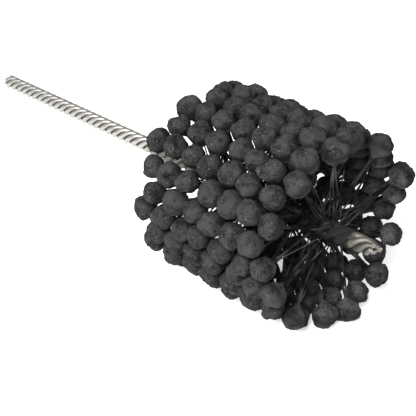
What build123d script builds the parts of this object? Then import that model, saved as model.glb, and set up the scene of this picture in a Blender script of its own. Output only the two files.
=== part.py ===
from build123d import *
from dataclasses import dataclass
import math
import os
import random

# Flexible ball hone. Four twisted wires make the stem, and in the slits between them they
# grip filament strands that cross the stem from side to side. Each strand carries an
# abrasive globule on both of its ends.
# X runs along the stem from the butt of the shank to the tip, and Z is up. The tool lies
# on its head, so its axis is level. Angles turn about X, from Y towards Z.

# Stem
overall_length = 317.5
wire_count = 4
wire_diameter = 3.0
wire_slit = 0.4
twist_lead = 24.5
twist_phase = -16.0
butt_chamfer = 1.1
tip_setbacks = (0.0, 1.3, 0.5, 0.9)

# Head: the bore that it hones, how much larger it is when free, and where it sits
bore_diameter = 95.25
head_oversize = 9.75
brush_length = 106.0
tip_reach = 15.0
fan_out = 1.11
strand_slant = 1.7
rest_sag = 1.5

# Globules
globule_diameter = 12.2
globule_variation = 0.9
globule_gap = 0.8
globule_clearance = 0.35
neck_reach = 9.0
scatter = 1.33
reach_scatter = 1.09
scatter_seed = 637
settling_passes = 120

# Strands
strand_diameter = 1.7
gripped_diameter = 0.3
root_clearance = 0.25
root_bite = 0.4

# Lean of the strands when the head is drawn into the bore
lean_back = 18.0

# Derived sizes
head_diameter = bore_diameter + head_oversize
lean_in = (head_diameter - bore_diameter) / 2
centre_radius = (head_diameter - globule_diameter) / 2
column_count = 8 * round(2 * math.pi * centre_radius / (8 * (globule_diameter + globule_gap)))
brush_end = overall_length - tip_reach
brush_middle = brush_end - brush_length / 2
root_middle = brush_middle - strand_slant
root_span = (brush_length - globule_diameter) / fan_out
rest_height = (
    centre_radius * math.cos(math.pi / column_count) + globule_diameter / 2 - rest_sag
)


def wire_nearness(circle_radius):
    """Distance between the centre lines of two neighbouring wires on this circle."""
    turn = 2 * math.pi / wire_count
    steps = [turn * step / 400 for step in range(400)]
    return min(
        math.hypot(
            2 * circle_radius * math.sin((turn - angle) / 2),
            twist_lead * angle / (2 * math.pi),
        )
        for angle in steps
    )


def wire_circle_radius():
    """Radius of the circle that leaves the named slit between neighbouring wires."""
    radius = wire_diameter
    for _ in range(30):
        radius *= (wire_diameter + wire_slit) / wire_nearness(radius)
    return radius


wire_circle = wire_circle_radius()
stem_radius = wire_circle + wire_diameter / 2
root_radius = stem_radius + root_clearance


@dataclass
class Globule:
    """One abrasive globule: its strand's root, and the place and size of its ball."""

    column: int
    root_x: float
    x: float
    angle: float
    reach: float
    diameter: float


def column_angle(column):
    """Angle of a column of globules, with two columns side by side underneath."""
    return 360 / column_count * (column + 0.5)


def around(x, angle, radius):
    """Point at this radius and angle about the stem's axis."""
    turn = math.radians(angle)
    return Vector(x, radius * math.cos(turn), radius * math.sin(turn))


def root_places(column):
    """Places along the stem where a slit between the wires faces this column.

    A slit passes each angle four times in a lead. Every second one holds a strand, and
    the columns take turns, so that no two strands meet at the stem's axis.
    """
    interval = 2 * twist_lead / wire_count
    slit_angle = twist_phase + 180 / wire_count
    first = twist_lead * (slit_angle - column_angle(column)) / 360
    first += interval / 2 * (column % 2)
    lowest = math.ceil((root_middle - root_span / 2 - first) / interval)
    highest = math.floor((root_middle + root_span / 2 - first) / interval)
    return [first + interval * number for number in range(lowest, highest + 1)]


def scattered_globules():
    """All globules, fanned out along the head and each a little out of its row.

    The strands lean to the tip, so the roots sit nearer to the butt by their slant.
    """
    chance = random.Random(scatter_seed)
    globules = []
    for column in range(column_count):
        for root_x in root_places(column):
            x = brush_middle + fan_out * (root_x - root_middle)
            globules.append(
                Globule(
                    column=column,
                    root_x=root_x,
                    x=x + chance.uniform(-scatter, scatter),
                    angle=column_angle(column)
                    + math.degrees(chance.uniform(-scatter, scatter) / centre_radius),
                    reach=centre_radius + chance.uniform(-reach_scatter, reach_scatter),
                    diameter=globule_diameter
                    + chance.uniform(-globule_variation, globule_variation),
                )
            )
    return globules


def ball_centre(globule):
    """Centre of the ball, lifted where the table under the head pushes it up."""
    centre = around(globule.x, globule.angle, globule.reach)
    return Vector(centre.X, centre.Y, max(centre.Z, globule.diameter / 2 - rest_height))


def leaned_centre(globule):
    """Centre of the ball when its whole column has leaned back into the bore."""
    return ball_centre(globule) - around(lean_back, column_angle(globule.column), lean_in)


def push_apart(first, second):
    """Move two globules apart where their balls come too near, upright or leaned."""
    least = (first.diameter + second.diameter) / 2 + globule_clearance
    for place in (ball_centre, leaned_centre):
        between = place(second) - place(first)
        short = least - between.length
        if short <= 0:
            continue
        push = between.normalized() * (short / 2)
        for globule, side in ((first, -1), (second, 1)):
            tangent = around(0, globule.angle + 90, 1)
            globule.x += side * push.X
            globule.angle += side * math.degrees(push.dot(tangent) / globule.reach)


def settled_globules():
    """The scattered globules, pushed apart until none of them touch."""
    globules = scattered_globules()
    near = 2 * (globule_diameter + scatter)
    pairs = [
        (first, second)
        for number, first in enumerate(globules)
        for second in globules[number + 1 :]
        if (ball_centre(first) - ball_centre(second)).length < near
    ]
    for _ in range(settling_passes):
        for first, second in pairs:
            push_apart(first, second)
    return globules


def strand_root(globule):
    """Where the strand leaves the stem."""
    return around(globule.root_x, column_angle(globule.column), root_radius)


def strand_direction(globule):
    return (ball_centre(globule) - strand_root(globule)).normalized()


# Stem wires: left-hand twist, ground flat and chamfered at the butt, each one cut off
# at a slightly different place at the tip
with BuildPart() as plain_wire:
    with BuildLine() as wire_path:
        Helix(
            pitch=twist_lead,
            height=overall_length + twist_lead,
            radius=wire_circle,
            center=(-twist_lead / 2, 0, 0),
            direction=(1, 0, 0),
            lefthand=True,
        )
    with BuildSketch(Plane(origin=wire_path.line @ 0, z_dir=wire_path.line % 0)):
        Circle(wire_diameter / 2)
    sweep(is_frenet=True)

path_start = wire_path.line @ 0
start_angle = math.degrees(math.atan2(path_start.Z, path_start.Y)) - 180

os.makedirs("parts", exist_ok=True)

for number, setback in enumerate(tip_setbacks):
    wire_angle = twist_phase + 360 / wire_count * number
    wire_end = overall_length - setback
    with BuildPart() as stem_wire:
        add(plain_wire.part, rotation=(wire_angle - start_angle, 0, 0))
        with BuildSketch(Plane.XY):
            with BuildLine():
                Polyline(
                    (0, 0),
                    (0, stem_radius - butt_chamfer),
                    (butt_chamfer, stem_radius),
                    (butt_chamfer, stem_radius + root_clearance),
                    (wire_end, stem_radius + root_clearance),
                    (wire_end, 0),
                    close=True,
                )
            make_face()
        revolve(axis=Axis.X, mode=Mode.INTERSECT)
    stem_wire.part.label = f"stem_wire_{number + 1}"
    export_step(stem_wire.part, f"parts/{stem_wire.part.label}.step")

globules = settled_globules()

# Globules: a ball that runs down its strand in a cone, one node for each column
for column in range(column_count):
    with BuildPart() as globule_column:
        for globule in (each for each in globules if each.column == column):
            centre = ball_centre(globule)
            outward = strand_direction(globule)
            ball_radius = globule.diameter / 2
            neck_corner = (-neck_reach, strand_diameter / 2)
            cone_angle = math.degrees(
                math.atan2(neck_corner[1], neck_corner[0])
                - math.acos(ball_radius / math.hypot(*neck_corner))
            )
            with BuildSketch(Plane(centre, x_dir=outward, z_dir=outward.cross(Vector(1, 0, 0)))):
                with BuildLine():
                    ball = CenterArc((0, 0), ball_radius, 0, cone_angle)
                    Polyline(ball @ 1, neck_corner, (-neck_reach, 0), ball @ 0)
                make_face()
            revolve(axis=Axis(centre, outward))
    globule_column.part.label = f"globules_{column + 1:02d}"
    export_step(globule_column.part, f"parts/{globule_column.part.label}.step")

# Strands: pressed thin where the wires grip them, full outside, and one node for each
# pair of opposite columns, because a strand carries a globule of both
opposite = column_count // 2
for row in range(opposite):
    row_direction = around(0, column_angle(row), 1)
    with BuildPart() as strand_row:
        for root_x in root_places(row):
            with BuildSketch(Plane((root_x, 0, 0), z_dir=row_direction)):
                Circle(gripped_diameter / 2)
            extrude(amount=root_radius + root_bite, both=True)
        for globule in (each for each in globules if each.column % opposite == row):
            root = strand_root(globule)
            length = (ball_centre(globule) - root).length - neck_reach
            with BuildSketch(Plane(root, z_dir=strand_direction(globule))):
                Circle(strand_diameter / 2)
            extrude(amount=length)
    strand_row.part.label = f"strands_{row + 1:02d}"
    export_step(strand_row.part, f"parts/{strand_row.part.label}.step")
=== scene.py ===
import math
import random

import bmesh
import bpy
import numpy as np
from bpy.props import FloatProperty, FloatVectorProperty, IntProperty, PointerProperty
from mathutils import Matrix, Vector, noise


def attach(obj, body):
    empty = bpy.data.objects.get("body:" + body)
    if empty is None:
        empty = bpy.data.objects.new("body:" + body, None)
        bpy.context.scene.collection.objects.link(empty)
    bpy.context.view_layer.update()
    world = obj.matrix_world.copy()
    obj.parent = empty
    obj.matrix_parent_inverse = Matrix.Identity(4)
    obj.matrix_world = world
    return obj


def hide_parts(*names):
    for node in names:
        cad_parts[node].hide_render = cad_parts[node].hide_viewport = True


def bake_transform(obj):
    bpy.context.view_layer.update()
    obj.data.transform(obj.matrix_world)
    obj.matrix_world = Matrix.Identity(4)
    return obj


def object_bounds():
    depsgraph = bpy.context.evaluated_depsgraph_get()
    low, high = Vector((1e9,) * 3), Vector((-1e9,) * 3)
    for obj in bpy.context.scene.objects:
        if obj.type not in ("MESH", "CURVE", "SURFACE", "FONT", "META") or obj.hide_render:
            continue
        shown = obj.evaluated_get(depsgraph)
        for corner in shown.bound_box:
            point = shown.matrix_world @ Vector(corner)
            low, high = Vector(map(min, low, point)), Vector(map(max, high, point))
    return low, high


# Looks of a flexible ball hone: a twisted stem of galvanised wire, black filament strands
# that it grips, and a lumpy abrasive globule moulded on the end of every strand.
# X runs along the stem from its butt to its tip, and the tool lies on its head.

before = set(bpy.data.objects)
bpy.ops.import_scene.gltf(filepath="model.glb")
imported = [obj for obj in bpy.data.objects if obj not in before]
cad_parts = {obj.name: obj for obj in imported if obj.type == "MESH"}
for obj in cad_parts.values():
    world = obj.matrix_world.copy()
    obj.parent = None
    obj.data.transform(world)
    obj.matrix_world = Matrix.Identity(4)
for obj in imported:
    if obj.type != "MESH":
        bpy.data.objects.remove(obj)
cad_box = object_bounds()

bl_info = {
    "name": "Flexible Ball Hone",
    "version": (1, 0, 0),
    "blender": (4, 5, 0),
    "location": "View3D > Sidebar > Ball Hone",
    "description": "Dresses the packed ball hone and sets it on a pale floor",
    "category": "Object",
}

MM = 0.001
MERGE_DISTANCE = 0.001 * MM
ALONG_STEM = Vector((1.0, 0.0, 0.0))
WHITE = (1.0, 1.0, 1.0, 1.0)
WIRE_NODES = sorted(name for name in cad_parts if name.startswith("stem_wire"))
GLOBULE_NODES = sorted(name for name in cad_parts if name.startswith("globules"))
STRAND_NODES = sorted(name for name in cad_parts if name.startswith("strands"))
COLUMN_COUNT = len(GLOBULE_NODES)


def linear(hex_colour):
    """A colour given as sRGB hex, as the linear values that the shaders take."""
    channels = [int(hex_colour[start : start + 2], 16) / 255 for start in (1, 3, 5)]
    return [
        channel / 12.92 if channel <= 0.04045 else ((channel + 0.055) / 1.055) ** 2.4
        for channel in channels
    ] + [1.0]


def length_property(name, description, default_mm):
    return FloatProperty(
        name=name,
        description=description,
        default=default_mm * MM,
        min=0.0,
        precision=5,
        unit="LENGTH",
        subtype="DISTANCE",
    )


def place_property(name, description, *default_mm):
    return FloatVectorProperty(
        name=name,
        description=description,
        default=[value * MM for value in default_mm],
        subtype="XYZ",
        unit="LENGTH",
    )


def angle_property(name, description, default_degrees):
    return FloatProperty(
        name=name,
        description=description,
        default=math.radians(default_degrees),
        subtype="ANGLE",
    )


def plain_property(name, description, default):
    return FloatProperty(name=name, description=description, default=default, min=0.0)


def colour_property(name, description, hex_colour):
    return FloatVectorProperty(
        name=name,
        description=description,
        default=linear(hex_colour),
        min=0.0,
        max=1.0,
        size=4,
        subtype="COLOR",
    )


class HoneStemProperties(bpy.types.PropertyGroup):
    """Finish of the twisted wires."""

    twist_lead: length_property("Lead", "Length in which a wire turns once", 24.5)
    closing: length_property(
        "Closing", "How far each wire swells to close the slit to its neighbours", 0.19
    )
    # Depth below the crests at which the painted shade and grime fill the groove
    groove_shade_depth: length_property(
        "Groove depth", "Depth below the crests at which grime fills the groove", 1.5
    )
    spangle: length_property("Spangle", "Size of the dull patches in the zinc coat", 2.2)
    scratch: length_property("Scratch", "Spacing of the fine drawing marks", 0.35)
    scratch_depth: length_property("Scratch depth", "Depth of the drawing marks", 0.03)
    tear: length_property("Tear", "How raggedly the cropped end of a wire is torn", 0.5)
    torn_grain: length_property("Torn grain", "Size of the grain on a torn end", 0.6)
    torn_depth: length_property("Torn depth", "Depth of the grain on a torn end", 0.3)
    pinch_length: length_property(
        "Pinch", "Length over which the cropping tool squeezed the tip", 6.0
    )
    film_start: length_property("Film start", "Where a film of slurry starts", 149)
    film_full: length_property("Film full", "Where that film is as thick as it gets", 163)
    film_cover: plain_property("Film cover", "How much of the zinc the film hides", 0.85)
    smear_start: length_property("Smear start", "Where binder starts to soil the wires", 190)
    smear_end: length_property("Smear end", "Where the wires come clean again", 307)
    smear_height: length_property("Smear height", "Greatest height of that binder", 0.8)
    run_size: length_property("Run size", "Size of the runs in that binder", 3.0)
    run_depth: length_property("Run depth", "Depth of the runs in that binder", 1.5)
    zinc: colour_property("Zinc", "Bright zinc on the crest of the wires", "#c0bfba")
    dull_zinc: colour_property("Dull zinc", "Dulled zinc between the crests", "#989690")
    # Darker zinc near the head: slurry film and painted shade of the head
    filmed_shaded_zinc: colour_property("Filmed zinc", "Zinc under dried slurry", "#55534c")
    # Dark colour of the grooves, painted shade with grime; the torn ends use it too
    shade_and_grime: colour_property("Grime", "Dark residue in the grooves", "#4b4943")
    binder: colour_property("Binder", "Black binder that ran onto the wires", "#141414")
    cut_steel: colour_property("Cut steel", "Freshly cut ends of the wires", "#c9c3bb")
    zinc_roughness: plain_property("Zinc roughness", "Roughness of bright zinc", 0.36)
    dull_roughness: plain_property("Dull roughness", "Roughness of dull zinc", 0.52)
    film_roughness: plain_property("Film roughness", "Roughness of dried slurry", 0.7)
    binder_roughness: plain_property("Binder roughness", "Roughness of the binder", 0.9)


class HoneStrandProperties(bpy.types.PropertyGroup):
    """Size and finish of the filament strands."""

    filament_diameter: length_property("Filament", "Diameter of one coated filament", 0.8)
    root_spacing: length_property(
        "Root spacing", "Distance along the slit between the filaments of a strand", 1.2
    )
    sheath_diameter: length_property(
        "Sheath", "Diameter of the binder round the strand near its globule", 1.5
    )
    waviness: length_property(
        "Waviness", "How far a filament strays from a straight line", 0.7
    )
    crust_length: length_property(
        "Crust length", "Half the length of the binder along the slit at a root", 2.6
    )
    crust_height: length_property(
        "Crust height", "How far that binder stands out of the slit", 1.1
    )
    split_radius: length_property(
        "Split radius", "Distance from the axis where roots end and free strands begin", 9.0
    )
    spread_start: length_property(
        "Spread start", "Where every second filament starts one slit nearer to the tip", 280
    )
    dust_length: length_property("Dust length", "Length of the dusty stretches", 11.0)
    dust_depth: length_property("Dust depth", "Unevenness of the binder's surface", 0.15)
    coat: colour_property("Coat", "Black binder on the nylon", "#060607")
    # Grey of the dusty stretches, also painted light standing in for lit filaments
    dusty_lit_coat: colour_property("Worn coat", "Dusty stretches of the binder", "#2f2f2e")


class HoneGlobuleProperties(bpy.types.PropertyGroup):
    """Shape and finish of the abrasive globules."""

    detail: IntProperty(
        name="Detail", description="Subdivisions of a globule's mesh", default=4, min=2, max=5
    )
    swelling: length_property(
        "Swelling", "How far a globule bulges sideways beyond the plain ball", 0.2
    )
    neck_length: length_property(
        "Neck", "Mean distance from a globule's middle to the end of its own cone", 8.3
    )
    crown_drop: length_property("Crown drop", "How far the crown is flattened", 0.9)
    lump_size: length_property("Lump size", "Distance between the soft lumps", 5.0)
    lump_height: length_property("Lump height", "Height of the soft lumps", 0.65)
    wrinkle_size: length_property("Wrinkle size", "Distance between the wrinkles", 2.1)
    wrinkle_height: length_property("Wrinkle height", "Height of the wrinkles", 0.45)
    crumb_size: length_property("Crumb size", "Distance between the crumbs of grit", 1.1)
    crumb_height: length_property("Crumb height", "Height of the crumbs", 0.32)
    # The next two radii set where the inner side's painted shade colour gives way to the
    # outer colour
    inner_shade_radius: length_property(
        "Inner radius", "Distance from the axis inside which a globule is all binder", 43.5
    )
    inner_shade_end_radius: length_property(
        "Outer radius", "Distance from the axis beyond which the grit lies bare", 50.5
    )
    # The next three set a band of painted shade round the globules where neighbours meet
    gap_shade_radius: length_property(
        "Waist radius", "Distance from the axis where unworn binder is darkest", 45.7
    )
    gap_shade_width: length_property(
        "Waist width", "How far that dark binder reaches each way", 4.6
    )
    gap_shade_cover: plain_property("Waist cover", "How much of the grit that binder hides", 0.8)
    lean_back: length_property(
        "Lean back", "How far a column leans to the butt in the bore that it hones", 18.0
    )
    lean_in: length_property(
        "Lean in", "How far a column comes in to the stem's axis in that bore", 4.875
    )
    touch: length_property("Touch", "Gap left between globules that press together", 0.06)
    neighbour_gap: length_property(
        "Neighbour gap", "Gap up to which another globule counts as a neighbour", 4.0
    )
    nipple_height: length_property(
        "Nipple", "Greatest height of the point that the mould leaves on some globules", 1.4
    )
    ledge_height: length_property(
        "Ledge", "Step where one coat of slurry stops on another", 0.5
    )
    patch: length_property("Patch", "Size of the richer and poorer patches of binder", 4.0)
    mottle: length_property("Mottle", "Size of the clumps of grains", 1.4)
    mottle_depth: length_property("Mottle depth", "Depth between the clumps", 0.7)
    grit: length_property("Grit", "Spacing of the grains, drawn coarse to show", 0.9)
    grit_depth: length_property("Grit depth", "Depth between the grains", 1.0)
    speck: length_property("Speck", "Spacing of the cells that may hold a pale grain", 1.3)
    speck_share: plain_property("Speck share", "Share of the cells that hold one", 0.25)
    # Hollow and rise: how far below and above the plain ball the painted shade in hollows and
    # the painted light on high spots are full
    hollow_shade_depth: length_property(
        "Hollow", "How far below the plain ball the surface is all dark binder", 1.1
    )
    rise: length_property(
        "Rise", "How far above the plain ball the surface is all worn bare", 0.7
    )
    binder: colour_property("Binder", "Dark binder full of silicon carbide", "#333333")
    # Binder colour of the inner side: painted shade, set to how the shaded inner sides look
    inner_shade_binder: colour_property("Inner binder", "Binder on the inner side", "#3d3d3d")
    # Near-black binder: the dark end of the random mottle, and also the colour of the painted
    # shade in hollows and round the waist
    dark_binder_and_shade: colour_property("Dark binder", "Richer patches of binder", "#090909")
    pale_grain: colour_property("Pale grain", "Grains that catch the light", "#5e5e5c")


class HoneStageProperties(bpy.types.PropertyGroup):
    """Camera, floor and light."""

    camera_place: place_property(
        "Camera", "Place of the camera in the tool's frame", 596.84, -345.09, 230.49
    )
    camera_azimuth: angle_property(
        "Azimuth", "Turn of the camera from looking along +Y", 49.0
    )
    camera_elevation: angle_property(
        "Elevation", "Height of the camera's line of sight above the horizon", 25.53
    )
    sensor_width: plain_property("Sensor", "Width of the sensor in millimetres", 36.0)
    camera_lens: plain_property("Lens", "Focal length in millimetres", 93.03)
    floor_size: length_property("Floor", "Side of the square floor", 12000)
    floor_colour: colour_property("Floor colour", "Plain pale floor", "#dedede")
    floor_glow: plain_property("Floor glow", "Light that comes up through the floor", 0.5)
    sky_strength: plain_property("Sky", "Strength of the white room overhead", 0.42)
    horizon_strength: plain_property(
        "Horizon", "Strength of the white room at the horizon", 0.75
    )
    key_place: place_property("Key place", "Place of the key light", 700, -850, 700)
    key_target: place_property("Key target", "What the key light points at", 250, 0, 0)
    key_side: length_property("Key side", "Side of the key light's square box", 500)
    key_power: plain_property("Key power", "Power of the key light in watts", 43)


def set_inputs(tree, node, inputs):
    """Links the sockets given, or writes the values given, to the node's inputs."""
    for name, value in inputs.items():
        if isinstance(value, bpy.types.NodeSocket):
            tree.links.new(value, node.inputs[name])
        else:
            node.inputs[name].default_value = value


def add_node(tree, kind, inputs=None, **settings):
    """Adds a node of this kind, with values or links for its inputs."""
    made = tree.nodes.new(kind)
    for name, value in settings.items():
        setattr(made, name, value)
    set_inputs(tree, made, inputs or {})
    return made


def object_place(tree):
    """Each point's place in the tool's frame."""
    return add_node(tree, "ShaderNodeTexCoord").outputs["Object"]


def noise_pattern(tree, place, size, detail, roughness):
    """A noise whose lumps are about this size."""
    inputs = {"Vector": place, "Scale": 1 / size, "Detail": detail, "Roughness": roughness}
    return add_node(tree, "ShaderNodeTexNoise", inputs).outputs["Fac"]


def mapped(tree, value, low=0.0, high=1.0, to_low=0.0, to_high=1.0, smooth=False):
    """The value as it passes from low to high, mapped to the second pair and clamped."""
    inputs = {
        "Value": value,
        "From Min": low,
        "From Max": high,
        "To Min": to_low,
        "To Max": to_high,
    }
    interpolation = "SMOOTHSTEP" if smooth else "LINEAR"
    made = add_node(tree, "ShaderNodeMapRange", inputs, interpolation_type=interpolation)
    return made.outputs["Result"]


def mixed_colour(tree, share, low, high):
    """The first colour where the share is 0, and the second where it is 1."""
    inputs = {"Factor": share, "A": low, "B": high}
    return add_node(tree, "ShaderNodeMix", inputs, data_type="RGBA").outputs["Result"]


def calculated(tree, operation, *values):
    made = add_node(tree, "ShaderNodeMath", dict(enumerate(values)), operation=operation)
    return made.outputs["Value"]


def bumped(tree, height, depth, strength=1.0, under=None):
    """The surface's normal with this relief, on top of the relief under it."""
    inputs = {"Height": height, "Strength": strength, "Distance": depth}
    if under is not None:
        inputs["Normal"] = under
    return add_node(tree, "ShaderNodeBump", inputs).outputs["Normal"]


def off_axis_pattern(tree, place):
    """Each point's distance from the stem's axis."""
    flattened = {0: place, 1: (0.0, 1.0, 1.0)}
    across = add_node(tree, "ShaderNodeVectorMath", flattened, operation="MULTIPLY")
    inputs = {0: across.outputs["Vector"]}
    return add_node(tree, "ShaderNodeVectorMath", inputs, operation="LENGTH").outputs["Value"]


def new_material(name):
    """A material with a Principled surface, and its tree and shader."""
    material = bpy.data.materials.new(name)
    material.use_nodes = True
    tree = material.node_tree
    shader = next(each for each in tree.nodes if each.type == "BSDF_PRINCIPLED")
    return material, tree, shader


# Lengths over which the binder on the wires sets in and ends
SMEAR_RISE = 8 * MM
SMEAR_FALL = 6 * MM


def galvanised_wire_material(sizes, crest_radius):
    """Hot-dipped zinc on drawn steel: bright, slightly dull crests, and grooves painted dark
    with shade and grime.

    A film of slurry dulls it near the head and darkens it there as painted shade of the head,
    and black binder covers it inside the head.
    """
    material, tree, shader = new_material("galvanised_wire")
    place = object_place(tree)
    along = add_node(tree, "ShaderNodeSeparateXYZ", {"Vector": place}).outputs["X"]

    # Real drawing marks are under 0.1 mm apart. They are drawn coarser, so that they show.
    spangle = noise_pattern(tree, place, sizes.spangle, detail=3.0, roughness=0.6)
    scratch = noise_pattern(tree, place, sizes.scratch, detail=2.0, roughness=0.7)
    radius = off_axis_pattern(tree, place)
    # Painted shade: the wires are painted dark below the crests, in the grooves between them,
    # together with grime
    groove_shade_radius = crest_radius - sizes.groove_shade_depth
    height = mapped(tree, radius, groove_shade_radius, crest_radius, smooth=True)
    zinc = mixed_colour(tree, spangle, sizes.dull_zinc, sizes.zinc)
    colour = mixed_colour(tree, height, sizes.shade_and_grime, zinc)
    roughness = mapped(
        tree, spangle, to_low=sizes.zinc_roughness, to_high=sizes.dull_roughness
    )
    scratched = bumped(tree, scratch, sizes.scratch_depth, strength=0.25)

    # The slurry film also darkens the zinc where the stem runs under the head: painted shade
    # of the head, together with the film
    film = mapped(
        tree, along, sizes.film_start, sizes.film_full, to_high=sizes.film_cover
    )
    filmed_and_shaded = mixed_colour(tree, film, colour, sizes.filmed_shaded_zinc)
    dulled = mapped(tree, film, to_low=roughness, to_high=sizes.film_roughness)

    begun = mapped(tree, along, sizes.smear_start, sizes.smear_start + SMEAR_RISE)
    ended = mapped(
        tree, along, sizes.smear_end - SMEAR_FALL, sizes.smear_end, to_low=1.0, to_high=0.0
    )
    inside = calculated(tree, "MULTIPLY", begun, ended)
    runs = noise_pattern(tree, place, sizes.run_size, detail=4.0, roughness=0.7)
    share = calculated(tree, "ADD", inside, runs)
    smear = mapped(tree, share, low=0.8, high=1.1, smooth=True)
    crust = calculated(tree, "MULTIPLY", runs, smear)
    surface = {
        "Base Color": mixed_colour(tree, smear, filmed_and_shaded, sizes.binder),
        "Roughness": mapped(tree, smear, to_low=dulled, to_high=sizes.binder_roughness),
        "Normal": bumped(tree, crust, sizes.run_depth, under=scratched),
        "Specular IOR Level": 0.15,
        "Metallic": calculated(tree, "SUBTRACT", 1.0, smear),
    }
    set_inputs(tree, shader, surface)
    return material


def cut_steel_material(sizes):
    """Freshly cropped steel: pale and torn, with no zinc on it."""
    material, tree, shader = new_material("cut_steel")
    # The grain of torn steel is under 0.1 mm. It is drawn coarser, so that it shows.
    torn = noise_pattern(
        tree, object_place(tree), sizes.torn_grain, detail=4.0, roughness=0.7
    )
    surface = {
        # The torn grain is darker where it is low, in the same shade and grime colour
        "Base Color": mixed_colour(tree, torn, sizes.shade_and_grime, sizes.cut_steel),
        "Normal": bumped(tree, torn, sizes.torn_depth, strength=0.8),
        "Roughness": 0.5,
        "Metallic": 0.8,
    }
    set_inputs(tree, shader, surface)
    return material


def coated_nylon_material(sizes):
    """Nylon filament dipped in black binder: dull satin, with grey stretches that stand for
    dust and for painted light on lit filaments.
    """
    material, tree, shader = new_material("coated_nylon")
    dust = noise_pattern(
        tree, object_place(tree), sizes.dust_length, detail=2.0, roughness=0.5
    )
    # Grey stretches at random along the filaments: dust, and painted light standing in for
    # lit filaments
    dusty_and_lit = mapped(tree, dust, low=0.46, high=0.66)
    surface = {
        "Base Color": mixed_colour(tree, dusty_and_lit, sizes.coat, sizes.dusty_lit_coat),
        "Normal": bumped(tree, dust, sizes.dust_depth, strength=0.5),
        "Roughness": 0.6,
        "Specular IOR Level": 0.05,
    }
    set_inputs(tree, shader, surface)
    return material


# Vertex attribute: how far the surface of a globule stands out of its plain ball. The grit
# material reads it to paint hollows darker and high spots lighter: painted shade and light
RELIEF = "relief"


def silicon_carbide_material(sizes):
    """Silicon carbide grit moulded in binder: matte charcoal with a few pale grains.

    High spots are painted lighter and hollows darker. A dark band is painted round the waist
    where neighbouring globules shade each other, and the inner side has its own copy of the
    binder colour: painted light and shade.
    """
    material, tree, shader = new_material("silicon_carbide_grit")
    place = object_place(tree)
    radius = off_axis_pattern(tree, place)
    relief = add_node(
        tree, "ShaderNodeAttribute", attribute_type="GEOMETRY", attribute_name=RELIEF
    ).outputs["Fac"]

    # Real grains are about 0.1 mm. The grit and the pale grains are drawn about ten times
    # as coarse, so that they show.
    patches = noise_pattern(tree, place, sizes.patch, detail=2.0, roughness=0.5)
    mottle = noise_pattern(tree, place, sizes.mottle, detail=4.0, roughness=0.75)
    grit = noise_pattern(tree, place, sizes.grit, detail=3.0, roughness=0.8)
    grit_weight = 1.6
    uneven = calculated(tree, "ADD", patches, mottle)
    grainy = calculated(tree, "MULTIPLY_ADD", grit, grit_weight, uneven)
    # Painted shade and light: hollows are painted darker and high spots lighter, by how far
    # the surface stands out of its plain ball
    relief_light_and_shade = mapped(tree, relief, -sizes.hollow_shade_depth, sizes.rise, to_low=-0.4, to_high=0.3)
    grain_and_relief_shading = calculated(tree, "ADD", grainy, relief_light_and_shade)
    shade = mapped(tree, grain_and_relief_shading, low=1.45, high=2.05)
    outer = mixed_colour(tree, shade, sizes.dark_binder_and_shade, sizes.binder)
    shaded_inner = mixed_colour(tree, shade, sizes.dark_binder_and_shade, sizes.inner_shade_binder)

    cell_inputs = {"Vector": place, "Scale": 1 / sizes.speck}
    cells = add_node(tree, "ShaderNodeTexVoronoi", cell_inputs).outputs
    grain = mapped(tree, cells["Distance"], low=0.3, high=0.1)
    chosen = calculated(tree, "GREATER_THAN", cells["Color"], 1 - sizes.speck_share)
    speck = calculated(tree, "MULTIPLY", grain, chosen)
    flecked = mixed_colour(tree, speck, outer, sizes.pale_grain)

    # The inner side of a globule, towards the axis, takes its own copy of the binder colour
    # without pale grains, set to how the shaded inner sides look: painted shade
    out_of_inner_shade = mapped(tree, radius, sizes.inner_shade_radius, sizes.inner_shade_end_radius)
    colour = mixed_colour(tree, out_of_inner_shade, shaded_inner, flecked)
    # Painted shade: a dark band round each globule at this distance from the axis, where
    # neighbouring globules meet and shade each other
    from_gap_shade = calculated(tree, "SUBTRACT", radius, sizes.gap_shade_radius)
    aside = calculated(tree, "ABSOLUTE", from_gap_shade)
    gap_shade = mapped(
        tree, aside, high=sizes.gap_shade_width, to_low=sizes.gap_shade_cover, to_high=0.0
    )
    clumps = bumped(tree, mottle, sizes.mottle_depth)
    surface = {
        "Base Color": mixed_colour(tree, gap_shade, colour, sizes.dark_binder_and_shade),
        "Normal": bumped(tree, grit, sizes.grit_depth, under=clumps),
        "Roughness": 0.9,
        "Specular IOR Level": 0.1,
    }
    set_inputs(tree, shader, surface)
    return material


def smooth_step(value, low, high):
    share = max(0.0, min(1.0, (value - low) / (high - low)))
    return share * share * (3 - 2 * share)


def off_axis(point):
    """A point's distance from the stem's axis."""
    return math.hypot(point[1], point[2])


def column_direction(column):
    """Unit vector from the stem's axis to this column of globules."""
    turn = 2 * math.pi * (column + 0.5) / COLUMN_COUNT
    return Vector((0.0, math.cos(turn), math.sin(turn)))


def merged_bmesh(mesh):
    """A bmesh of this mesh with its double vertices merged, which closes its seams."""
    bm = bmesh.new()
    bm.from_mesh(mesh)
    bmesh.ops.remove_doubles(bm, verts=bm.verts, dist=MERGE_DISTANCE)
    return bm


def add_object(name, data):
    """Adds an object with this data to the scene."""
    made = bpy.data.objects.new(name, data)
    bpy.context.scene.collection.objects.link(made)
    return made


def add_mesh_object(name, bm, material):
    """Turns a bmesh into an object with this material."""
    mesh = bpy.data.meshes.new(name)
    bm.to_mesh(mesh)
    bm.free()
    mesh.materials.append(material)
    return add_object(name, mesh)


def new_piece(name, bm, material):
    """Turns a bmesh into a smooth-shaded piece of the tool."""
    bmesh.ops.recalc_face_normals(bm, faces=bm.faces)
    for face in bm.faces:
        face.smooth = True
    piece = add_mesh_object(name, bm, material)
    return piece


def wire_radius():
    """Distance from the stem's axis to the crests of the CAD wires."""
    return max(
        off_axis(vertex.co)
        for name in WIRE_NODES
        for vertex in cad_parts[name].data.vertices
    )


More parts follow.
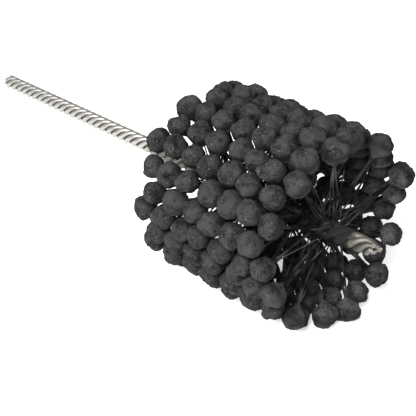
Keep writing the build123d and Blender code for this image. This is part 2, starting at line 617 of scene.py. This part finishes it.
SMEAR_LUMP_SIZE = 2.0 * MM


def smear_on_wire(point, sizes):
    """How far the lumps of binder stand on a wire at this point."""
    begun = smooth_step(point.x, sizes.smear_start, sizes.smear_start + SMEAR_RISE)
    ended = smooth_step(point.x, sizes.smear_end, sizes.smear_end - SMEAR_FALL)
    uneven = 0.5 + 0.5 * noise.noise(point / SMEAR_LUMP_SIZE)
    return sizes.smear_height * begun * ended * uneven


def closed_up_wire(name, sizes):
    """The CAD wire, swollen until the slits close, with lumps of binder in the head."""
    bm = merged_bmesh(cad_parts[name].data)
    bmesh.ops.recalc_face_normals(bm, faces=bm.faces)
    bm.normal_update()
    swollen = [
        vertex.co + vertex.normal * (sizes.closing + smear_on_wire(vertex.co, sizes))
        for vertex in bm.verts
    ]
    for vertex, place in zip(bm.verts, swollen):
        vertex.co = place
    return bm


# Cropped tip: how much of it gets a finer mesh, the way the blades closed and how far,
# how far they dragged its end, and the sizes of the tears
FINE_TIP = 2.5 * MM
FINE_TIP_SPLITS = 2
BLADE_DIRECTION = Vector((0.0, 0.55, 0.83))
BLADE_SQUEEZE = 0.32
BLADE_DRAG = 0.35
TEAR_SIZE = 0.9 * MM
SMALL_TEAR_SIZE = 0.35 * MM


def crop_tip(bm, tip, sizes):
    """Pinches the cropped end of a wire and tears its edge."""
    for _ in range(FINE_TIP_SPLITS):
        bm.edges.ensure_lookup_table()
        last = [
            edge
            for edge in bm.edges
            if min(vertex.co.x for vertex in edge.verts) > tip - FINE_TIP
        ]
        bmesh.ops.subdivide_edges(bm, edges=last, cuts=1, use_grid_fill=True)
    for vertex in bm.verts:
        squeezed = smooth_step(vertex.co.x, tip - sizes.pinch_length, tip)
        if squeezed <= 0:
            continue
        across = vertex.co.dot(BLADE_DIRECTION)
        vertex.co -= BLADE_DIRECTION * across * squeezed * BLADE_SQUEEZE
        torn = noise.noise(vertex.co / TEAR_SIZE)
        torn += 0.5 * noise.noise(vertex.co / SMALL_TEAR_SIZE)
        dragged = (torn - 1.0) * sizes.tear + across * BLADE_DRAG
        vertex.co.x += dragged * squeezed**3


def loose_solids(mesh):
    """The vertex places of each separate solid in a CAD node's mesh."""
    bm = merged_bmesh(mesh)
    waiting = set(bm.verts)
    solids = []
    while waiting:
        front = [waiting.pop()]
        solid = []
        while front:
            vertex = front.pop()
            solid.append(vertex.co.copy())
            for edge in vertex.link_edges:
                other = edge.other_vert(vertex)
                if other in waiting:
                    waiting.remove(other)
                    front.append(other)
        solids.append(solid)
    bm.free()
    return sorted(solids, key=lambda solid: min(point.x for point in solid))


class Globule:
    """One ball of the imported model: its centre, radius and strand, read from its solid.

    The outer part of the solid is a plain ball, and the rim of the disc that ends its
    cone is farthest from the ball's centre.
    """

    BALL_PART = 3.0 * MM
    RIM_TOLERANCE = 0.01 * MM

    def __init__(self, points, root_radius):
        points = np.array(points)
        distances = np.hypot(points[:, 1], points[:, 2])
        outer = points[distances > distances.max() - self.BALL_PART]
        system = np.c_[2 * outer, np.ones(len(outer))]
        answer = np.linalg.lstsq(system, (outer**2).sum(axis=1), rcond=None)[0]
        self.centre = Vector(answer[:3])
        self.radius = math.sqrt(answer[3] + self.centre.length_squared)
        reaches = np.linalg.norm(points - answer[:3], axis=1)
        rim = points[reaches > reaches.max() - self.RIM_TOLERANCE]
        self.neck = Vector((rim.min(axis=0) + rim.max(axis=0)) / 2)
        self.outward = (self.centre - self.neck).normalized()
        self.root = self.root_on_stem(root_radius)

    def root_on_stem(self, root_radius):
        """Where the strand's line comes down to the stem."""
        steep = off_axis(self.outward) ** 2
        slope = self.centre.y * self.outward.y + self.centre.z * self.outward.z
        above = off_axis(self.centre) ** 2 - root_radius**2
        travel = (slope - math.sqrt(slope**2 - steep * above)) / steep
        return self.centre - self.outward * travel


def read_globules(column, root_radius):
    """The balls of one column, with their roots at this distance from the axis."""
    solids = loose_solids(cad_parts[GLOBULE_NODES[column]].data)
    return [Globule(solid, root_radius) for solid in solids]


def press_planes(all_globules, sizes):
    """For each globule, the planes past which it would cut into a neighbour.

    They lie half way between two balls, both at rest and with their columns leaned into
    the bore. Each is a direction from the globule's centre, and a distance.
    """
    centres = np.array([globule.centre for _, globule in all_globules])
    radii = np.array([globule.radius for _, globule in all_globules])
    inward = np.array([-column_direction(column) for column, _ in all_globules])
    leaned = centres + inward * sizes.lean_in - np.array([sizes.lean_back, 0.0, 0.0])
    planes = [[] for _ in all_globules]
    for places in (centres, leaned):
        for number, place in enumerate(places):
            away = places - place
            distance = np.linalg.norm(away, axis=1)
            gap = distance - radii - radii[number]
            for other in np.flatnonzero((gap < sizes.neighbour_gap) & (distance > 0)):
                reach = radii[number] + (gap[other] - sizes.touch) / 2
                planes[number].append((away[other] / distance[other], reach))
    return planes


def random_direction(chance, lowest_rise, highest_rise):
    """A direction whose rise towards the globule's crown lies between these."""
    turn = chance.uniform(0, 2 * math.pi)
    rise = chance.uniform(lowest_rise, highest_rise)
    level = math.sqrt(1 - rise * rise)
    return Vector((level * math.cos(turn), level * math.sin(turn), rise))


# Neck of a globule, in its own axes with Z to the crown: the angle from the crown where
# the ball turns into the cone, the angle where the cone's end starts, the radius of that
# end, and how hollow the cone's side is
NECK_POLAR = math.radians(132)
NECK_END_POLAR = math.radians(172)
NECK_RADIUS = 0.85 * MM
NECK_HOLLOW = 1.6


class Lumps:
    """What makes one globule unlike the next: its flats, lumps, ledge, point and dent.

    A rise is the cosine of the angle to the crown, and a flat's depth is a share of the
    radius. The shares are the choices for how much of a feature a globule has.
    """

    NECK_VARIATION = 0.9 * MM
    CROWN_RISES = (0.93, 1.0)
    CROWN_DEPTHS = (0.84, 0.97)
    CROWN_START = 0.35
    FLAT_COUNTS = (4, 8)
    FLAT_RISES = (-0.5, 0.8)
    FLAT_DEPTHS = (0.85, 0.98)
    FLAT_PRESS = 0.85
    LEDGE_RISES = (-0.9, 0.9)
    LEDGE_LEVELS = (-0.2, 0.5)
    LEDGE_SHARES = (0.0, 0.0, 0.6, 1.0)
    LEDGE_WAVE = 0.12
    LEDGE_BLUR = 0.05
    NIPPLE_RISES = (-0.3, 0.95)
    NIPPLE_SHARES = (0.0, 0.0, 0.0, 0.5, 1.0)
    NIPPLE_EDGE = 0.86
    DENT_RISES = (-0.4, 0.9)
    DENT_DEPTHS = (0.0, 0.4, 0.8)
    DENT_WAVE = 0.1
    DENT_EDGE = 0.72
    DENT_FLOOR = 0.98
    SEED_RANGE = 90

    def __init__(self, chance, radius, sizes):
        self.sizes = sizes
        self.radius = radius + sizes.swelling
        self.neck_length = sizes.neck_length + chance.uniform(-1, 1) * self.NECK_VARIATION
        crown = (
            random_direction(chance, *self.CROWN_RISES),
            chance.uniform(*self.CROWN_DEPTHS),
        )
        self.flats = [crown] + [
            (random_direction(chance, *self.FLAT_RISES), chance.uniform(*self.FLAT_DEPTHS))
            for _ in range(chance.randint(*self.FLAT_COUNTS))
        ]
        self.ledge = random_direction(chance, *self.LEDGE_RISES)
        self.ledge_level = chance.uniform(*self.LEDGE_LEVELS)
        self.ledge_height = chance.choice(self.LEDGE_SHARES) * sizes.ledge_height
        self.nipple = random_direction(chance, *self.NIPPLE_RISES)
        self.nipple_height = chance.choice(self.NIPPLE_SHARES) * sizes.nipple_height
        self.dent = random_direction(chance, *self.DENT_RISES)
        self.dent_depth = chance.choice(self.DENT_DEPTHS) * MM
        self.seed = Vector([chance.uniform(0, self.SEED_RANGE) for _ in range(3)])

    def swell(self, unit):
        """How far the surface stands out of the ball in this direction."""
        sizes = self.sizes
        point = unit * self.radius
        uneven = noise.noise(point / sizes.wrinkle_size - self.seed)
        height = noise.noise(point / sizes.lump_size + self.seed) * sizes.lump_height
        height += uneven * sizes.wrinkle_height
        height += noise.noise(point / sizes.crumb_size + self.seed * 2) * sizes.crumb_height
        on_ledge = unit.dot(self.ledge) + uneven * self.LEDGE_WAVE
        height += self.ledge_height * smooth_step(
            on_ledge, self.ledge_level - self.LEDGE_BLUR, self.ledge_level + self.LEDGE_BLUR
        )
        on_nipple = unit.dot(self.nipple)
        height += self.nipple_height * smooth_step(on_nipple, self.NIPPLE_EDGE, 1.0)
        in_dent = unit.dot(self.dent) + uneven * self.DENT_WAVE
        height -= self.dent_depth * smooth_step(in_dent, self.DENT_EDGE, self.DENT_FLOOR)
        return height

    def place(self, unit):
        """Moves a point of the unit ball to the lumpy teardrop in the globule's axes."""
        polar = math.acos(max(-1.0, min(1.0, unit.z)))
        on_ball = min(polar, NECK_POLAR)
        level = Vector((unit.x, unit.y, 0.0))
        level = level.normalized() if level.length > 1e-6 else Vector((1.0, 0.0, 0.0))
        direction = level * math.sin(on_ball) + Vector((0.0, 0.0, math.cos(on_ball)))
        point = direction * self.radius
        on_crown = smooth_step(direction.z, self.CROWN_START, 1.0)
        point -= direction * self.sizes.crown_drop * on_crown
        for flat, depth in self.flats:
            over = point.dot(flat) - depth * self.radius
            if over > 0:
                point -= flat * over * self.FLAT_PRESS
        point += direction * self.swell(direction)
        if polar <= NECK_POLAR:
            return point
        along = min(1.0, (polar - NECK_POLAR) / (NECK_END_POLAR - NECK_POLAR))
        start = math.hypot(point.x, point.y)
        wide = NECK_RADIUS + (start - NECK_RADIUS) * (1 - along) ** NECK_HOLLOW
        if polar > NECK_END_POLAR:
            wide = NECK_RADIUS * (math.pi - polar) / (math.pi - NECK_END_POLAR)
        deep = point.z + (-self.neck_length - point.z) * along
        return level * wide + Vector((0.0, 0.0, deep))


def add_globule(bm, globule, planes, chance, sizes):
    """Adds one lumpy ball with its cone down the strand, pressed flat at its neighbours."""
    lumps = Lumps(chance, globule.radius, sizes)
    relief = bm.verts.layers.float.get(RELIEF) or bm.verts.layers.float.new(RELIEF)
    ball = bmesh.ops.create_icosphere(bm, subdivisions=sizes.detail, radius=1.0)
    for vertex in ball["verts"]:
        # The relief is kept for the grit material, which paints shade into hollows and light
        # onto high spots from it
        vertex[relief] = lumps.swell(vertex.co.normalized())
        vertex.co = lumps.place(vertex.co)
    turned = globule.outward.to_track_quat("Z", "Y").to_matrix().to_4x4()
    bmesh.ops.transform(bm, matrix=turned, verts=ball["verts"])
    points = np.array([vertex.co for vertex in ball["verts"]])
    for direction, reach in planes:
        over = np.maximum(points @ direction - reach, 0.0)
        points -= over[:, None] * direction
    for vertex, point in zip(ball["verts"], points):
        vertex.co = globule.centre + Vector(point)


def slit_direction(direction, radius, lead):
    """Direction of the slit between two wires where it faces this column."""
    onward = ALONG_STEM.cross(direction)
    return (ALONG_STEM - onward * (2 * math.pi * radius / lead)).normalized()


# Course of a filament: how deep in the stem it starts, the shares of its length where it
# may bend, how much of its bow goes into a double bend, how fast the filaments of a
# strand close up, how far apart they still are in the neck, and how deep they end there
START_RADIUS = 1.5 * MM
BEND_SHARES = (0.2, 0.4, 0.6, 0.8)
DOUBLE_BEND = 0.5
CLOSING_POWER = 0.7
START_SPREAD = 0.5
NECK_SPREAD = 0.2
NECK_DEPTH = 2.0 * MM


def filament_points(globule, direction, spread, chance, sizes):
    """Points of one filament from inside the stem, out of its slit and into the neck."""
    across = globule.outward.cross(ALONG_STEM).normalized()
    middle = Vector((globule.root.x, 0.0, 0.0))
    start = middle + direction * START_RADIUS + spread * START_SPREAD
    points = [start, globule.root + spread]
    sway = chance.uniform(-1, 1) * sizes.waviness
    swing = chance.uniform(-1, 1) * sizes.waviness
    for share in BEND_SHARES:
        bow = math.sin(math.pi * share)
        kink = math.sin(2 * math.pi * share) * DOUBLE_BEND
        points.append(
            globule.root.lerp(globule.neck, share)
            + spread * (1 - share) ** CLOSING_POWER
            + ALONG_STEM * (sway * bow + swing * kink)
            + across * (swing * bow - sway * kink)
        )
    points.append(globule.neck + spread * NECK_SPREAD)
    points.append(globule.neck + globule.outward * NECK_DEPTH)
    return points


def new_tube_curve(name):
    """An empty curve whose splines turn into round tubes of their own radius."""
    curve = bpy.data.curves.new(name, "CURVE")
    curve.dimensions = "3D"
    curve.bevel_depth = MM
    curve.bevel_resolution = 1
    curve.resolution_u = 2
    curve.use_fill_caps = True
    return curve


def add_tube(curve, points, radii):
    """Adds a smooth tube along these points to the curve."""
    spline = curve.splines.new("NURBS")
    spline.points.add(len(points) - 1)
    for place, point, radius in zip(spline.points, points, radii):
        place.co = (*point, 1.0)
        place.radius = radius / MM
    spline.order_u = 3
    spline.use_endpoint_u = True


def tube_bmesh(curve):
    """A bmesh of the curve's tubes. The curve is used up."""
    holder = add_object(curve.name, curve)
    mesh = bpy.data.meshes.new_from_object(holder)
    bpy.data.objects.remove(holder)
    bpy.data.curves.remove(curve)
    bm = merged_bmesh(mesh)
    bpy.data.meshes.remove(mesh)
    return bm


# Filaments of a strand: how many there are, how far each is out of its even place along
# the slit, as a share of their spacing, and how stout one is
FILAMENT_COUNTS = (2, 3, 3, 4)
FILAMENT_SHIFT = 0.3
FILAMENT_STOUTNESS = (0.8, 1.1)

# Crust at a root: how deep it sits in the slit, its points as shares of its half length,
# how high it is at each, and by how much that height varies
CRUST_DEPTH = 0.35 * MM
CRUST_SHARES = (-1.0, -0.4, 0.3, 1.0)
CRUST_HEIGHTS = (0.5, 1.0, 1.0, 0.5)
CRUST_VARIATION = (0.5, 1.3)

# Sheath round a strand: its points as shares of the strand's length, and its radius at
# all but the first of them as a share of the full one
SHEATH_SHARES = (0.55, 0.7, 0.85, 1.0)
SHEATH_RADII = (0.75, 0.9, 1.0, 1.0)


def strand_tubes(globules, direction, slit, next_slit, chance, sizes):
    """A bmesh of all filaments, crusts and sheaths of one column."""
    curve = new_tube_curve("tubes")
    thin = sizes.filament_diameter / 2
    thick = sizes.sheath_diameter / 2
    for globule in globules:
        count = chance.choice(FILAMENT_COUNTS)
        for number in range(count):
            shift = chance.uniform(-FILAMENT_SHIFT, FILAMENT_SHIFT)
            spread = slit * (number - (count - 1) / 2 + shift) * sizes.root_spacing
            if number % 2 and globule.root.x > sizes.spread_start:
                spread = spread + next_slit
            points = filament_points(globule, direction, spread, chance, sizes)
            radius = thin * chance.uniform(*FILAMENT_STOUTNESS)
            add_tube(curve, points, [radius] * len(points))

        crest = globule.root - direction * CRUST_DEPTH
        crust = [crest + slit * sizes.crust_length * share for share in CRUST_SHARES]
        heights = [
            sizes.crust_height * chance.uniform(*CRUST_VARIATION) * share
            for share in CRUST_HEIGHTS
        ]
        add_tube(curve, crust, heights)

        sheath = [globule.root.lerp(globule.neck, share) for share in SHEATH_SHARES]
        sheath.append(globule.neck + globule.outward * MM)
        add_tube(curve, sheath, [thin] + [thick * share for share in SHEATH_RADII])
    return tube_bmesh(curve)


def cut_off(bm, place, direction, keep_outer):
    """Keeps what lies beyond the plane, or inside it, and closes the cut tubes."""
    bmesh.ops.bisect_plane(
        bm,
        geom=bm.verts[:] + bm.edges[:] + bm.faces[:],
        dist=0.0001 * MM,
        plane_co=place,
        plane_no=direction,
        clear_inner=keep_outer,
        clear_outer=not keep_outer,
    )
    open_edges = [edge for edge in bm.edges if edge.is_boundary]
    bmesh.ops.holes_fill(bm, edges=open_edges, sides=0)


# How squarely a face looks along the stem to be a ground end, or bare steel at the torn
# tip, and the angle in radians from which an edge of a wire is sharp
GROUND_END = 0.95
TORN_END = 0.8
SHARP_EDGE = 0.7


class HONE_OT_stem(bpy.types.Operator):
    """Finish the four twisted wires of the stem"""

    bl_idname = "hone.stem"
    bl_label = "Stem Wires"

    def execute(self, context):
        sizes = context.scene.hone_stem
        zinc = galvanised_wire_material(sizes, wire_radius() + sizes.closing)
        cut = cut_steel_material(sizes)
        for number, name in enumerate(WIRE_NODES):
            bm = closed_up_wire(name, sizes)
            tip = max(vertex.co.x for vertex in bm.verts)
            ends = {face for face in bm.faces if abs(face.normal.x) > GROUND_END}
            crop_tip(bm, tip, sizes)
            bm.normal_update()
            for face in bm.faces:
                face.material_index = int(face in ends or face.normal.x > TORN_END)
            for edge in bm.edges:
                closed = len(edge.link_faces) == 2
                edge.smooth = closed and edge.calc_face_angle() < SHARP_EDGE
            piece = new_piece(f"galvanised_wire_{number + 1}", bm, zinc)
            piece.data.materials.append(cut)
            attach(piece, "stem")
            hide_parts(name)
        return {"FINISHED"}


STRAND_SEED = 5


class HONE_OT_strands(bpy.types.Operator):
    """Add the filaments of every column, split where the roots end"""

    bl_idname = "hone.strands"
    bl_label = "Filament Strands"

    def execute(self, context):
        sizes = context.scene.hone_strands
        material = coated_nylon_material(sizes)
        chance = random.Random(STRAND_SEED)
        stem_radius = wire_radius()
        lead = context.scene.hone_stem.twist_lead
        next_slit = ALONG_STEM * (lead / len(WIRE_NODES))
        for column in range(COLUMN_COUNT):
            direction = column_direction(column)
            slit = slit_direction(direction, stem_radius, lead)
            split = direction * sizes.split_radius
            node = STRAND_NODES[column % len(STRAND_NODES)]
            number = f"{column + 1:02d}"
            globules = read_globules(column, stem_radius)
            roots = strand_tubes(globules, direction, slit, next_slit, chance, sizes)
            free = roots.copy()
            cut_off(roots, split, direction, keep_outer=False)
            cut_off(free, split, direction, keep_outer=True)
            root_piece = new_piece(f"strand_roots_{number}", roots, material)
            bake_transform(root_piece)
            free_piece = new_piece(f"filaments_{number}", free, material)
            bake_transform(free_piece)
            for piece in (root_piece, free_piece):
                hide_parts(node)
        return {"FINISHED"}


GLOBULE_SEED = 3


class HONE_OT_globules(bpy.types.Operator):
    """Add the lumpy abrasive globules of every column"""

    bl_idname = "hone.globules"
    bl_label = "Abrasive Globules"

    def execute(self, context):
        sizes = context.scene.hone_globules
        material = silicon_carbide_material(sizes)
        chance = random.Random(GLOBULE_SEED)
        stem_radius = wire_radius()
        all_globules = [
            (column, globule)
            for column in range(COLUMN_COUNT)
            for globule in read_globules(column, stem_radius)
        ]
        planes = press_planes(all_globules, sizes)
        for column in range(COLUMN_COUNT):
            number = f"{column + 1:02d}"
            bm = bmesh.new()
            for (own_column, globule), own_planes in zip(all_globules, planes):
                if own_column == column:
                    add_globule(bm, globule, own_planes, chance, sizes)
            piece = new_piece(f"lumpy_globules_{number}", bm, material)
            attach(piece, f"column_{number}")
            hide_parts(GLOBULE_NODES[column])
        return {"FINISHED"}


def aimed_along(direction):
    """Rotation of a camera or light that looks this way."""
    return direction.to_track_quat("-Z", "Y").to_euler()


def add_camera(sizes):
    """The scene's camera, at the place from which the photo was taken."""
    azimuth, elevation = sizes.camera_azimuth, sizes.camera_elevation
    level = math.cos(elevation)
    back = Vector(
        (math.sin(azimuth) * level, -math.cos(azimuth) * level, math.sin(elevation))
    )
    camera = bpy.data.cameras.new("camera")
    camera.sensor_width = sizes.sensor_width
    camera.lens = sizes.camera_lens
    camera.clip_start = 10 * MM
    camera.clip_end = 50000 * MM
    holder = add_object("camera", camera)
    holder.location = sizes.camera_place
    holder.rotation_euler = aimed_along(-back)
    bpy.context.scene.camera = holder


def pale_floor_material(sizes):
    """Plain pale floor, lit through from below as on a light table."""
    material, tree, shader = new_material("pale_floor")
    surface = {
        "Base Color": sizes.floor_colour,
        "Roughness": 0.9,
        "Emission Color": WHITE,
        "Emission Strength": sizes.floor_glow,
    }
    set_inputs(tree, shader, surface)
    return material


def add_floor(sizes):
    """The floor that the head lies on."""
    bm = bmesh.new()
    bmesh.ops.create_grid(bm, size=sizes.floor_size / 2)
    bmesh.ops.translate(bm, vec=(0.0, 0.0, cad_box[0].z), verts=bm.verts)
    floor = add_mesh_object("floor", bm, pale_floor_material(sizes))


def add_white_room(sizes):
    """A white world whose brightness changes from the horizon to the zenith."""
    world = bpy.data.worlds.new("white_room")
    world.use_nodes = True
    tree = world.node_tree
    skyward = add_node(tree, "ShaderNodeTexCoord").outputs["Generated"]
    rise = add_node(tree, "ShaderNodeSeparateXYZ", {"Vector": skyward}).outputs["Z"]
    strength = mapped(
        tree, rise, to_low=sizes.horizon_strength, to_high=sizes.sky_strength
    )
    set_inputs(tree, tree.nodes["Background"], {"Color": WHITE, "Strength": strength})
    bpy.context.scene.world = world


def add_key_light(sizes):
    """A square soft box above the camera's left."""
    light = bpy.data.lights.new("key", "AREA")
    light.shape = "SQUARE"
    light.size = sizes.key_side
    light.energy = sizes.key_power
    holder = add_object("key", light)
    holder.location = sizes.key_place
    holder.rotation_euler = aimed_along(Vector(sizes.key_target) - Vector(sizes.key_place))


class HONE_OT_stage(bpy.types.Operator):
    """Set the camera, the pale floor and the soft light"""

    bl_idname = "hone.stage"
    bl_label = "Stage"

    def execute(self, context):
        sizes = context.scene.hone_stage
        add_camera(sizes)
        add_floor(sizes)
        add_white_room(sizes)
        add_key_light(sizes)
        context.scene.view_settings.view_transform = "Standard"
        return {"FINISHED"}


class HONE_PT_looks(bpy.types.Panel):
    """Lists the steps that dress the hone, with their sizes and colours"""

    bl_idname = "HONE_PT_looks"
    bl_label = "Ball Hone"
    bl_space_type = "VIEW_3D"
    bl_region_type = "UI"
    bl_category = "Ball Hone"

    def draw(self, context):
        for operator, group in STEPS:
            box = self.layout.box()
            box.operator(operator.bl_idname)
            properties = getattr(context.scene, group)
            for name in properties.__annotations__:
                box.prop(properties, name)


STEPS = (
    (HONE_OT_stage, "hone_stage"),
    (HONE_OT_stem, "hone_stem"),
    (HONE_OT_strands, "hone_strands"),
    (HONE_OT_globules, "hone_globules"),
)
PROPERTIES = {
    "hone_stage": HoneStageProperties,
    "hone_stem": HoneStemProperties,
    "hone_strands": HoneStrandProperties,
    "hone_globules": HoneGlobuleProperties,
}


def register():
    for name, group in PROPERTIES.items():
        bpy.utils.register_class(group)
        setattr(bpy.types.Scene, name, PointerProperty(type=group))
    for operator, _ in STEPS:
        bpy.utils.register_class(operator)
    bpy.utils.register_class(HONE_PT_looks)


def unregister():
    bpy.utils.unregister_class(HONE_PT_looks)
    for operator, _ in STEPS:
        bpy.utils.unregister_class(operator)
    for name, group in PROPERTIES.items():
        delattr(bpy.types.Scene, name)
        bpy.utils.unregister_class(group)


def main():
    register()
    bpy.ops.hone.stage()
    bpy.ops.hone.stem()
    bpy.ops.hone.strands()
    bpy.ops.hone.globules()


if __name__ == "__main__":
    main()
